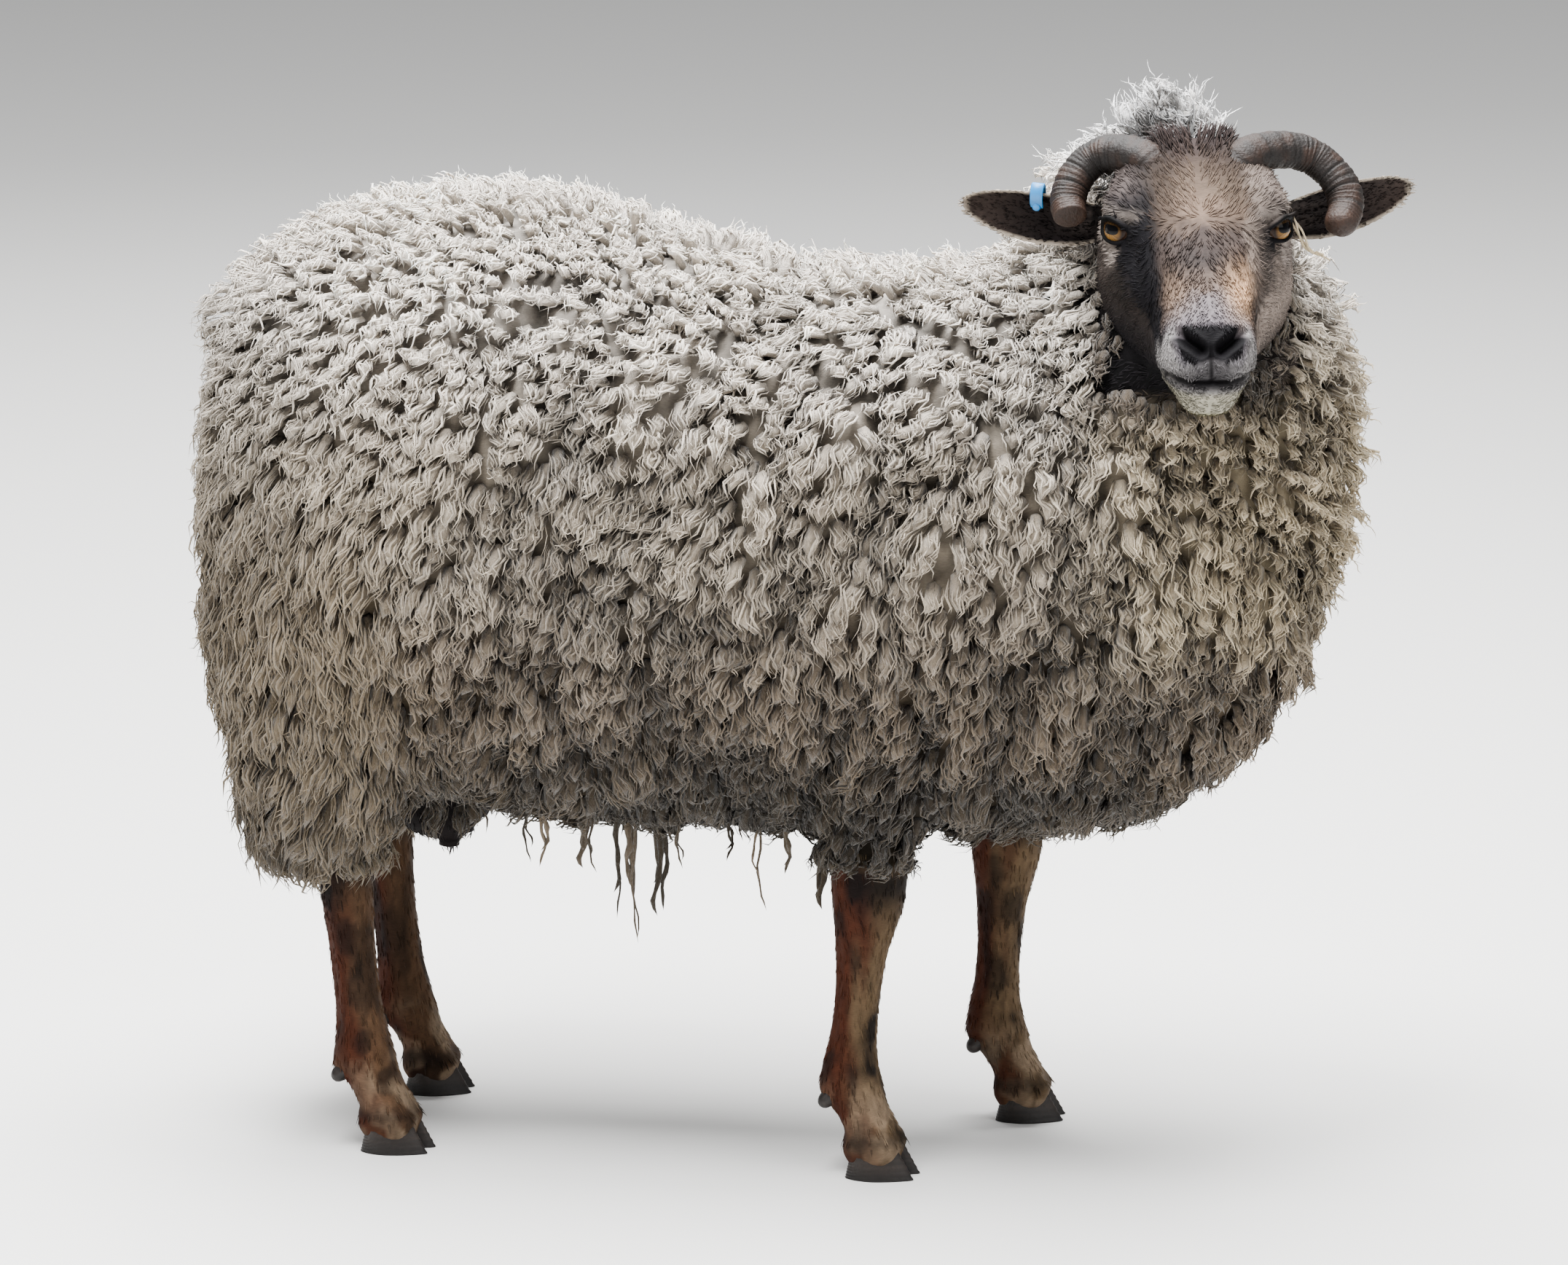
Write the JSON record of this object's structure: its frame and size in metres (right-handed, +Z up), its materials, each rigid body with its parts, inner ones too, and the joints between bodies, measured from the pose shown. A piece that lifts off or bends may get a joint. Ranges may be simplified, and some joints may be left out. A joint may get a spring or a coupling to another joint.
{
  "type": "horned short-tailed ewe in full fleece",
  "caption": "Life-size standing model of a small horned ewe with a long cream fleece, dark face and curled horns, head turned to its right.",
  "frame": {"origin": "on the floor, under the middle of the whole animal", "axes": "+X towards the breast, +Y towards the animal's left, +Z up"},
  "size_m": [0.976, 0.5028, 0.874],
  "materials": {
    "fleece": "long cream wool in wavy locks",
    "face": "short grey-brown hair, darker cheeks, pale muzzle",
    "leg": "short russet-brown hair with dark streaks",
    "horn": "ringed grey-brown horn",
    "hoof": "dark horn",
    "eye": "wet amber eye with a level dark pupil",
    "udder": "dark bare skin",
    "tag": "light blue plastic"
  },
  "bodies": {
    "root": {"neck": "fleece", "trunk": "fleece", "tail": "fleece", "head": "face", "eye_right": "eye", "horn_right": "horn", "ear_right": "face", "eye_left": "eye", "horn_left": "horn", "ear_left": "face", "ear_tag": "tag", "udder": "udder", "foreleg_right": "leg", "foreleg_right_claw_right": "hoof", "foreleg_right_dewclaw_right": "hoof", "foreleg_right_claw_left": "hoof", "foreleg_right_dewclaw_left": "hoof", "foreleg_left": "leg", "foreleg_left_claw_right": "hoof", "foreleg_left_dewclaw_right": "hoof", "foreleg_left_claw_left": "hoof", "foreleg_left_dewclaw_left": "hoof", "hindleg_right": "leg", "hindleg_right_claw_right": "hoof", "hindleg_right_dewclaw_right": "hoof", "hindleg_right_claw_left": "hoof", "hindleg_right_dewclaw_left": "hoof", "hindleg_left": "leg", "hindleg_left_claw_right": "hoof", "hindleg_left_dewclaw_right": "hoof", "hindleg_left_claw_left": "hoof", "hindleg_left_dewclaw_left": "hoof"}
  },
  "joints": []
}
